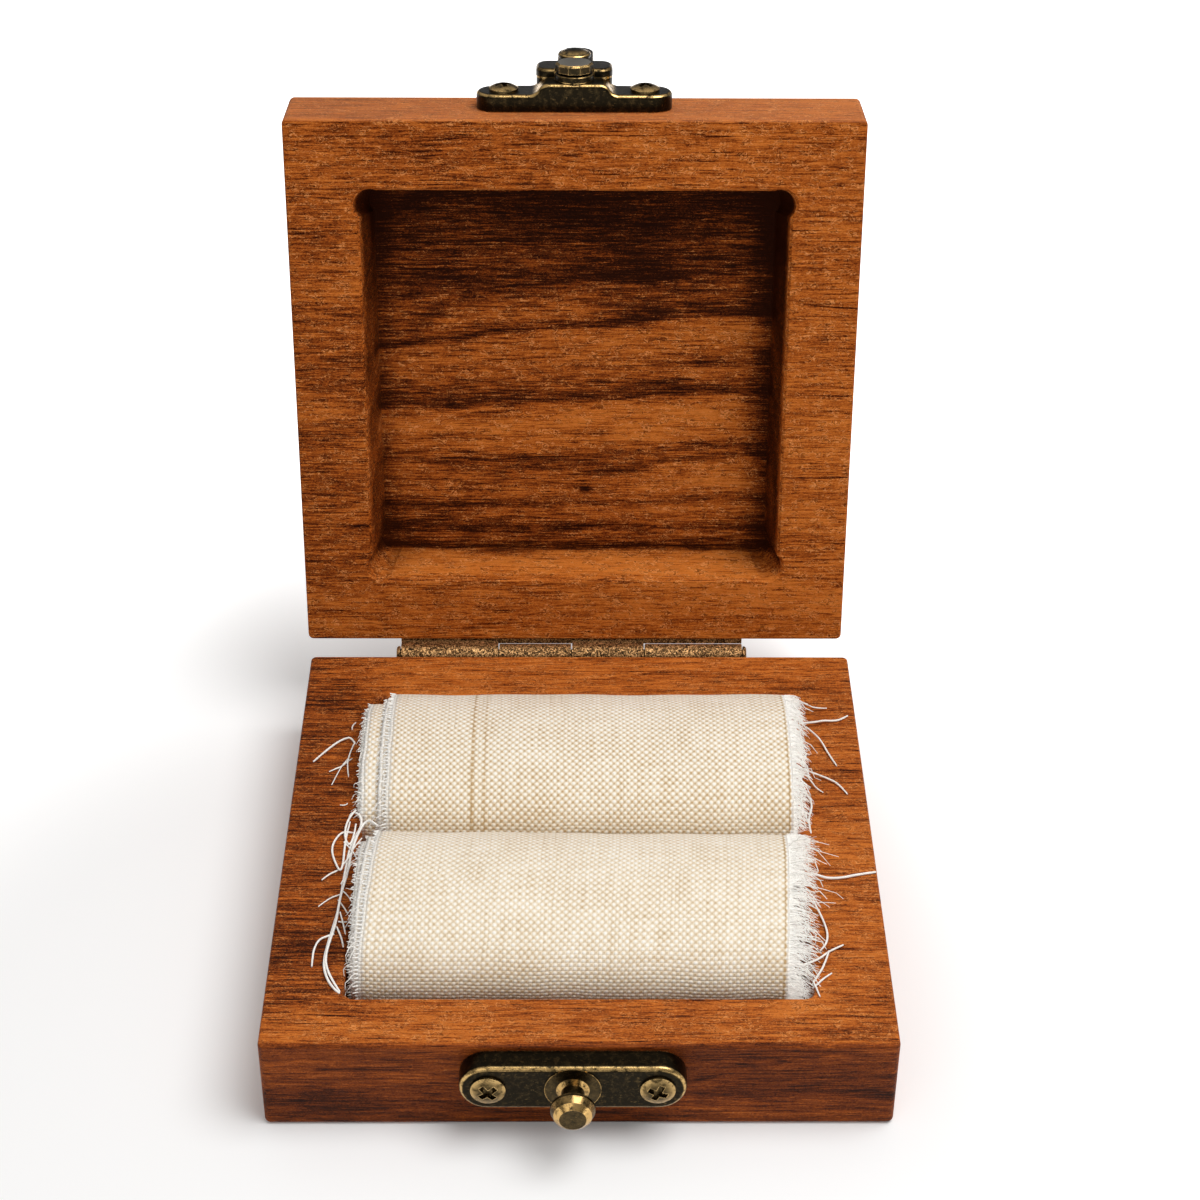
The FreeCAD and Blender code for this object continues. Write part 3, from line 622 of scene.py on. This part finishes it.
def sectionPoint(half, height, share):
    # place and outward direction on the flattened oval, from the middle of its underside round to itself
    r = rollShape["sideRadius"]
    sideY = half - r
    spare = height - 2 * r
    lift = (sideY ** 2 + spare ** 2) / (2 * spare)
    crownZ = height - lift - r
    lean = math.atan2(r - crownZ, sideY)
    bend, crown = r * (lean + math.pi / 2), 2 * (lift + r) * (math.pi / 2 - lean)
    lengths = [sideY, bend, crown, bend, sideY]
    s = (share % 1.0) * sum(lengths)
    for index, length in enumerate(lengths):
        if s <= length or index == 4:
            break
        s -= length
    if index == 0:
        return (s, 0.0), (0.0, -1.0), sum(lengths)
    if index == 4:
        return (-sideY + s, 0.0), (0.0, -1.0), sum(lengths)
    if index == 2:
        angle = lean + s / (lift + r)
        out = (math.cos(angle), math.sin(angle))
        return ((lift + r) * out[0], crownZ + (lift + r) * out[1]), out, sum(lengths)
    angle = -math.pi / 2 + s / r if index == 1 else math.pi - lean + s / r
    centre = sideY if index == 1 else -sideY
    out = (math.cos(angle), math.sin(angle))
    return (centre + r * out[0], r + r * out[1]), out, sum(lengths)


def slipAt(roll, turns):
    slips = roll["slips"]
    for (before, low), (after, high) in zip(slips, slips[1:]):
        if turns < after:
            part = max((turns - before) / (after - before), 0.0)
            return low + (high - low) * part * part * (3 - 2 * part)
    return slips[-1][1]


def rollPoint(roll, box, turns, across):
    # place on the wound strip; turns counts the wraps inwards and across runs from its left edge
    low, high = box
    half = (high[1] - low[1]) / 2
    middle = (high[1] + low[1]) / 2
    (y, z), out, _ = sectionPoint(half, high[2] - low[2], turns)
    inset = rollShape["inset"] + rollShape["layerStep"] * turns
    wave = 0.10 * math.sin(across * 0.23 + turns * 5.0 + roll["seed"])
    wave += 0.08 * math.sin(across * 0.51 - turns * 9.0)
    inset += rollShape["ease"] + wave * 0.6
    x = roll["left"] - slipAt(roll, turns) + across
    lower = 1.0 - roll["fall"] * across / roll["width"]
    place = Vector((x, middle + y - out[0] * inset, low[2] + (z - out[1] * inset) * lower))
    return place, Vector((0.0, out[0], out[1]))


def nodeBox(node):
    return [Vector(c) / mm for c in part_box(node)]


def newPiece(name, verts, faces, material):
    mesh = bpy.data.meshes.new(name)
    mesh.from_pydata([tuple(v) for v in verts], [], faces)
    obj = bpy.data.objects.new(name, mesh)
    scene.collection.objects.link(obj)
    if material:
        mesh.materials.append(material)
    return obj


def settle(obj):
    # the modifiers' result becomes a plain mesh
    graph = bpy.context.evaluated_depsgraph_get()
    mesh = bpy.data.meshes.new_from_object(obj.evaluated_get(graph))
    obj.modifiers.clear()
    old = obj.data
    obj.data = mesh
    mesh.name = obj.name
    bpy.data.meshes.remove(old)
    return obj


def windStrip(key, material):
    roll = rolls[key]
    box = nodeBox(roll["node"])
    perimeter = sectionPoint((box[1][1] - box[0][1]) / 2, box[1][2] - box[0][2], 0.0)[2]
    places = [rollShape["start"]]
    while places[-1] < rollShape["wraps"]:
        left = max(perimeter - 2 * math.pi * rollShape["layerStep"] * places[-1], rollShape["shortest"])
        places.append(places[-1] + rollShape["along"] / left)
    columns = rollShape["across"]
    verts, lengths = [], [0.0]
    for index, turns in enumerate(places):
        row = [rollPoint(roll, box, turns, roll["width"] * c / columns)[0] for c in range(columns + 1)]
        if index:
            before = verts[-columns - 1]
            lengths.append(lengths[-1] + math.hypot(row[0].y - before.y, row[0].z - before.z))
        verts += row
    faces, flats = [], []
    for i in range(len(places) - 1):
        for c in range(columns):
            a = i * (columns + 1) + c
            faces.append((a, a + 1, a + columns + 2, a + columns + 1))
            u0, u1 = lengths[i] * mm, lengths[i + 1] * mm
            v0, v1 = roll["width"] * c / columns * mm, roll["width"] * (c + 1) / columns * mm
            flats += [(u0, v0), (u0, v1), (u1, v1), (u1, v0)]
    strip = newPiece(f"{key}LinenStrip", [v * mm for v in verts], faces, material)
    layer = strip.data.uv_layers.new(name="weave")
    for loop, flat in zip(layer.data, flats):
        loop.uv = flat
    strip.data.polygons.foreach_set("use_smooth", [True] * len(faces))
    wall = strip.modifiers.new("thickness", "SOLIDIFY")
    wall.thickness = rollShape["thickness"] * mm
    wall.offset = 0.0
    settle(strip)
    return strip, (roll["width"] * mm, lengths[-1] * mm)


# Fringe: thread ends along the cut edges, grown by one node tree
fringeLook = {"sides": 4, "steps": 6, "taper": 0.55, "curlScale": 900.0, "rootIn": 0.15, "round": 66.0}
fringeInputs = {"Thread Radius": "Float", "Curl": "Float", "Curl Scale": "Float", "Drift": "Vector",
                "Steps": "Int", "Seed": "Float"}


def makeFringeTree(material):
    tree = bpy.data.node_groups.new("fringe", "GeometryNodeTree")
    face = tree.interface
    face.new_socket(name="Geometry", in_out="INPUT", socket_type="NodeSocketGeometry")
    names = {}
    for name, kind in fringeInputs.items():
        socket = face.new_socket(name=name, in_out="INPUT", socket_type=f"NodeSocket{kind}")
        names[name] = socket.identifier
    face.new_socket(name="Geometry", in_out="OUTPUT", socket_type="NodeSocketGeometry")
    start = Sock(tree)
    group = tree.nodes.new("NodeGroupInput")
    given = {s.name: Sock(tree, s) for s in group.outputs}
    stored = "GeometryNodeInputNamedAttribute"
    outward = start.make(stored, {"data_type": "FLOAT_VECTOR"}, {"Name": "outward"})
    reach = start.make(stored, {"data_type": "FLOAT"}, {"Name": "reach"})
    strand = start.make("GeometryNodeCurvePrimitiveLine", {}, {"Start": (0, 0, 0), "End": (0, 0, 1)})
    strand = start.make("GeometryNodeResampleCurve", {}, {"Curve": strand, "Count": given["Steps"]})
    aim = start.make("FunctionNodeAlignRotationToVector", {"axis": "Z"}, {"Vector": outward})
    grown = start.make("GeometryNodeInstanceOnPoints", {},
                       {"Points": given["Geometry"], "Instance": strand, "Rotation": aim,
                        "Scale": start.vector(reach, reach, reach)})
    grown = start.make("GeometryNodeRealizeInstances", {}, {"Geometry": grown})
    share = start.make("GeometryNodeSplineParameter", {}, {}, "Factor")
    here = start.make("GeometryNodeInputPosition", {}, {})
    drift = start.make("ShaderNodeTexNoise", {"noise_dimensions": "4D"},
                       {"Vector": here, "W": given["Seed"], "Scale": given["Curl Scale"],
                        "Detail": 1.0}, "Color")
    vectors = "ShaderNodeVectorMath"
    centred = start.make(vectors, {"operation": "SUBTRACT"}, {0: drift, 1: (0.5, 0.5, 0.5)})
    sway = start.make(vectors, {"operation": "SCALE"}, {0: centred, "Scale": share * given["Curl"]})
    hang = start.make(vectors, {"operation": "SCALE"}, {0: given["Drift"], "Scale": share * share})
    sway = start.make(vectors, {"operation": "ADD"}, {0: sway, 1: hang})
    bent = start.make("GeometryNodeSetPosition", {}, {"Geometry": grown, "Offset": sway})
    thin = 1.0 - share * fringeLook["taper"]
    bent = start.make("GeometryNodeSetCurveRadius", {}, {"Curve": bent, "Radius": thin})
    ring = start.make("GeometryNodeCurvePrimitiveCircle", {},
                      {"Resolution": fringeLook["sides"], "Radius": given["Thread Radius"]})
    tubes = start.make("GeometryNodeCurveToMesh", {},
                       {"Curve": bent, "Profile Curve": ring, "Fill Caps": True, "Scale": thin})
    plain = start.make("GeometryNodeRealizeInstances", {}, {"Geometry": tubes})
    coated = start.make("GeometryNodeSetMaterial", {}, {"Geometry": plain, "Material": material})
    output = tree.nodes.new("NodeGroupOutput")
    tree.links.new(coated.socket, output.inputs["Geometry"])
    return tree, names


def growFringe(name, tree, names, roots, values):
    # roots are (place, outward direction, reach) in millimetres
    mesh = bpy.data.meshes.new(name)
    mesh.from_pydata([tuple(r[0] * mm) for r in roots], [], [])
    for label, kind, key in (("outward", "FLOAT_VECTOR", 1), ("reach", "FLOAT", 2)):
        layer = mesh.attributes.new(label, kind, "POINT")
        if kind == "FLOAT":
            layer.data.foreach_set("value", [r[key] * mm for r in roots])
        else:
            layer.data.foreach_set("vector", [c for r in roots for c in r[key].normalized()])
    obj = bpy.data.objects.new(name, mesh)
    scene.collection.objects.link(obj)
    grow = obj.modifiers.new("fringe", "NODES")
    grow.node_group = tree
    for label, value in values.items():
        grow[names[label]] = value
    return settle(obj)


def joined(name, parts):
    # several plain meshes as one piece
    with bpy.context.temp_override(active_object=parts[0], selected_editable_objects=parts, object=parts[0]):
        bpy.ops.object.join()
    parts[0].name = name
    parts[0].data.name = name
    return parts[0]


def edgeRoots(key, side, turnsFrom, turnsTo, spacing, reach, spread, chance, lift, picker):
    roll = rolls[key]
    if side > 0:
        reach = reach * roll["fringe"]
    box = nodeBox(roll["node"])
    roots = []
    turns = turnsFrom
    across = fringeLook["rootIn"] if side < 0 else roll["width"] - fringeLook["rootIn"]
    while turns < turnsTo:
        place, out = rollPoint(roll, box, turns, across)
        turns += spacing / fringeLook["round"]
        if picker.random() > chance:
            continue
        lean = Vector((picker.gauss(0, 1), picker.gauss(0, 1), picker.gauss(0, 1))) * spread
        aim = Vector((side, 0, 0)) + lean + out * (0.10 + lift)
        place = place + out * (lift + picker.uniform(-0.10, 0.10))
        roots.append((place, aim, reach * picker.uniform(0.55, 1.25)))
    return roots


linen = {key: makeLinen(f"{key}Linen", roll) for key, roll in rolls.items()}
whiteLook = makeThreadLook("linenEdge", (0.995, 0.970, 0.920))
fringeTree, fringeNames = makeFringeTree(whiteLook)
strips = {}
for key, roll in rolls.items():
    strips[key] = windStrip(key, linen[key])
    print(key, "roll wound, flat size", [round(v, 4) for v in strips[key][1]])

# one row for each kind: side, turns from and to, spacing, reach, spread, share kept, lift, then the
# thread's radius, curl and drift
fringeRows = {
    "rightMat": (1, 0.12, 1.35, 0.075, 2.4, 0.10, 1.0, 0.0, 0.085, 0.9, (-0.2, -0.5, -0.9)),
    "rightFuzz": (1, 0.14, 1.10, 0.13, 3.0, 0.22, 0.9, 0.0, 0.060, 1.5, (-0.6, -0.8, -1.2)),
    "rightTangle": (1, 0.36, 0.68, 0.50, 3.8, 0.30, 0.8, 0.0, 0.130, 3.2, (-1.6, -1.8, -1.6)),
    "rightLong": (1, 0.30, 0.62, 1.6, 4.8, 0.25, 0.6, 0.0, 0.095, 2.6, (-0.6, -1.0, -2.0)),
    "rightInner": (1, 1.35, 3.0, 0.30, 1.6, 0.20, 0.9, 0.0, 0.100, 0.8, (0.0, -0.2, -0.5)),
    "leftStub": (-1, 0.12, 1.05, 0.50, 0.75, 0.06, 1.0, 0.14, 0.200, 0.1, (0.1, 0.0, -0.05)),
    "leftInner": (-1, 1.05, 4.2, 0.55, 0.60, 0.18, 0.9, 0.06, 0.150, 0.3, (0.1, 0.0, -0.1)),
    "leftWisps": (-1, 2.4, 5.2, 1.6, 1.3, 0.50, 0.6, 0.0, 0.075, 1.6, (0.2, -0.2, -0.6)),
    "leftTangle": (-1, 0.52, 0.72, 0.60, 2.4, 0.30, 0.7, 0.0, 0.110, 2.4, (0.8, -0.8, -1.8)),
}
fringes = {}
for key, roll in rolls.items():
    picker = random.Random(roll["seed"])
    grown, count = {"Fringe": [], "Ends": []}, 0
    for index, (kind, row) in enumerate(fringeRows.items()):
        roots = edgeRoots(key, *row[:8], picker)
        values = {"Thread Radius": row[8] * mm, "Curl": row[9] * mm, "Curl Scale": fringeLook["curlScale"],
                  "Drift": [c * mm for c in row[10]], "Steps": fringeLook["steps"],
                  "Seed": float(roll["seed"] + index)}
        group = "Fringe" if row[0] > 0 and row[2] < 1.4 else "Ends"
        grown[group].append(growFringe(f"{key}{kind}", fringeTree, fringeNames, roots, values))
        count += len(roots)
    fringes[key] = {group: joined(f"{key}Linen{group}", parts) for group, parts in grown.items()}
    for piece in fringes[key].values():
        piece.visible_shadow = False       # the fine threads let light through
    print(key, "fringe grown,", count, "threads")

# Loose threads: (pixel across, pixel down, height) of the photograph along each, and its thickness
looseThreads = {
    "left": [
        (0.30, [(357.5, 748, 13.6), (352, 737, 14.4), (345, 738.5, 14.5), (338.3, 741.7, 14.3),
                (326.7, 750, 14.3), (313.3, 761.7, 14.2)]),
        (0.22, [(356, 757, 13.4), (349, 760, 14.4), (341.7, 766.7, 14.3), (335, 769, 14.3),
                (329.2, 771.7, 14.2)]),
        (0.18, [(353, 753, 13.6), (346, 761, 14.4), (340, 768.3, 14.3), (331.7, 785, 14.2)]),
        (0.22, [(352, 766, 12.8), (346, 771, 14.0), (348.3, 783.3, 13.6), (350.5, 795, 13.0),
                (350, 810, 12.6)]),
        (0.20, [(353, 733, 13.4), (351.5, 728, 14.4), (354, 723.5, 14.2), (360, 720.5, 13.4)]),
        (0.34, [(349, 829, 12.6), (348.5, 817, 14.0), (354, 811.5, 14.6), (361, 816, 14.8),
                (361.7, 826, 14.6), (355, 837, 14.4), (349, 851, 14.2), (345.5, 870, 14.0),
                (341.7, 890, 14.3), (338.3, 910, 14.3), (331.7, 931.7, 14.3), (325, 953.3, 14.3),
                (323.3, 968, 14.3), (328.3, 982, 14.3), (336, 991, 14.2), (343.3, 996.7, 13.6)]),
        (0.34, [(378, 826, 15.6), (372, 821, 15.6), (366.5, 821, 15.3), (362, 826, 15.0),
                (356, 838, 14.8), (351, 854, 14.5), (347.5, 873.3, 14.4), (342, 890, 14.6),
                (339, 904, 14.6), (335.8, 923.3, 14.6), (330, 940, 14.5), (326, 953, 14.5),
                (325.5, 965, 14.4), (331.7, 980, 14.3), (341.7, 995, 13.8)]),
        (0.30, [(356, 834, 13.6), (348, 831.5, 14.4), (340, 833.3, 14.4), (333, 843, 14.3),
                (331.7, 852, 14.3), (335, 862, 14.3), (340, 872, 14.4), (343, 865, 14.6),
                (344.2, 852, 14.5), (346, 836, 14.4), (350, 822, 14.0)]),
        (0.24, [(344, 868, 13.4), (336, 871, 14.4), (328, 875, 14.3), (321.7, 880, 14.2)]),
        (0.20, [(345, 893, 13.6), (337, 895.5, 14.4), (328, 899, 14.3), (318.3, 906.7, 14.2)]),
        (0.22, [(338.3, 921.7, 14.4), (345, 922.5, 14.2), (356, 921.7, 13.2)]),
        (0.24, [(336.7, 926.7, 14.4), (341, 936, 14.3), (343.8, 948, 13.9), (345.5, 972, 13.0)]),
        (0.28, [(334, 934, 14.5), (326, 936.5, 14.4), (318.3, 940, 14.3), (313.5, 950, 14.3),
                (312.5, 958, 14.2), (311.7, 966.7, 14.2)]),
        (0.22, [(364.2, 765, 16.4), (365, 775, 15.8), (367, 786, 14.9), (373.3, 805, 13.6)]),
        (0.30, [(356, 810, 15.0), (350, 816, 14.9), (345, 828, 14.6), (345, 840, 14.5),
                (350, 846, 14.5), (354, 836, 14.8), (356, 824, 15.0)]),
        (0.22, [(344, 842, 14.5), (350, 848, 14.5), (356, 856, 14.6), (362, 870, 14.4)]),
        (0.22, [(344, 864, 14.4), (350, 855, 14.7), (355, 846, 14.8), (362, 838, 15.0)]),
        (0.24, [(341, 884, 14.5), (346, 876, 14.7), (350, 864, 14.7), (352, 850, 14.8)]),
        (0.20, [(338, 900, 14.6), (345, 908, 14.2), (350, 920, 13.6), (352, 938, 13.0)]),
        (0.20, [(341, 890, 14.6), (348, 894, 14.3), (353, 904, 13.8)]),
        (0.22, [(340, 912, 14.5), (344, 926, 14.2), (347, 944, 13.6), (349, 962, 13.0)]),
        (0.20, [(355, 742, 15.0), (350, 752, 14.5), (347, 764, 14.4), (349, 780, 13.8),
                (350, 800, 13.4), (346, 806, 14.3), (340, 805, 14.3)]),
    ],
    "right": [
        (0.22, [(800, 702, 17.0), (808, 705, 15.4), (815, 708.3, 14.5), (826.7, 708.3, 14.3)]),
        (0.30, [(800, 723, 17.6), (810, 723, 15.6), (823.3, 720.5, 14.4), (834, 721, 14.3),
                (841, 719.5, 14.3), (847.5, 715.8, 14.2)]),
        (0.28, [(806, 727, 17.0), (816, 735, 15.0), (821.7, 741.7, 14.4), (828.3, 754, 14.3),
                (836.7, 765.8, 14.2)]),
        (0.28, [(800, 768, 17.2), (808, 771, 15.6), (816, 774, 14.6), (828, 778.5, 14.4),
                (839, 784, 14.3), (847.5, 794.2, 14.2)]),
        (0.20, [(806, 775, 15.6), (811.7, 781.7, 14.6), (816.7, 789, 14.3), (823.3, 792.5, 14.2)]),
        (0.30, [(800, 789, 15.4), (808, 795, 14.6), (812.5, 805, 14.4), (809.5, 815, 14.3),
                (808.5, 824, 14.2), (813.3, 843.3, 13.6)]),
        (0.36, [(812, 873, 15.6), (822, 877, 14.6), (831, 878.5, 14.4), (844, 877.5, 14.3),
                (858, 874.5, 14.3), (876, 872, 14.2)]),
        (0.30, [(813, 901, 15.4), (818.3, 910, 14.5), (825, 924, 14.4), (828, 935, 14.4),
                (826, 945, 14.3), (820, 951, 13.9)]),
        (0.30, [(804, 964.5, 15.0), (812, 962, 14.6), (820, 958.3, 14.5), (830, 950.5, 14.4),
                (843.3, 945, 14.2)]),
        (0.28, [(812, 986, 13.4), (816, 978, 14.2), (821.7, 970, 14.5), (826, 960, 14.7),
                (829, 951, 14.7)]),
        (0.26, [(813, 988, 13.6), (818, 984, 14.3), (824, 978, 14.3), (831.7, 973.3, 14.2)]),
        (0.24, [(813, 981, 13.8), (816.5, 988, 14.3), (820, 996.7, 14.2)]),
    ],
}


def layThreads(side):
    data = bpy.data.curves.new(f"{side}Threads", "CURVE")
    data.dimensions = "3D"
    data.bevel_depth = 0.5 * mm
    data.bevel_resolution = 1
    data.use_fill_caps = True
    for thick, points in looseThreads[side]:
        spline = data.splines.new("NURBS")
        spline.points.add(len(points) - 1)
        for index, (point, place) in enumerate(zip(spline.points, points)):
            point.co = (*(underPixel(*place) * mm), 1.0)
            point.radius = thick * (0.8 if index == len(points) - 1 else 1.0)
        spline.order_u = 3
        spline.use_endpoint_u = True
        spline.resolution_u = 5
    obj = bpy.data.objects.new(f"{side}LooseThreads", data)
    scene.collection.objects.link(obj)
    graph = bpy.context.evaluated_depsgraph_get()
    mesh = bpy.data.meshes.new_from_object(obj.evaluated_get(graph))
    bpy.data.objects.remove(obj)
    mesh.materials.clear()
    mesh.materials.append(whiteLook)
    piece = bpy.data.objects.new(f"{side}LooseThreads", mesh)
    scene.collection.objects.link(piece)
    return piece


threads = {"front": layThreads("left"), "rear": layThreads("right")}
print("loose threads laid")

# for the shut lid: the rolls, their fringes and the loose threads are attached to the base, each given a mesh
# of its own; the press values are not applied to them
press = {"middle": -1.0, "strip": 0.925, "fringe": 0.25, "rim": 14.05, "loose": 0.12}
sideways, upright = (1.0, 0.0, 0.0), (0.0, 0.0, 1.0)


def pressed(piece, axis, place):
    tuple(a * place * mm for a in axis)
    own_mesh(piece)


for key, roll in rolls.items():
    strip, flat = strips[key]
    fringe, ends = fringes[key]["Fringe"], fringes[key]["Ends"]
    soft = [fringe, ends, threads[key]]
    for piece in [strip] + soft:
        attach(piece, "base")
    pressed(strip, sideways, press["middle"])
    pressed(ends, sideways, press["middle"])
    # where the shortened fringe would be held, on the strip's end; pressed does not move it
    end = roll["left"] + roll["width"]
    moved = press["middle"] + (end - press["middle"]) * press["strip"]
    held = (moved - end * press["fringe"]) / (1.0 - press["fringe"])
    pressed(fringe, sideways, held)
    pressed(threads[key], upright, press["rim"])
    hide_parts(roll["node"])
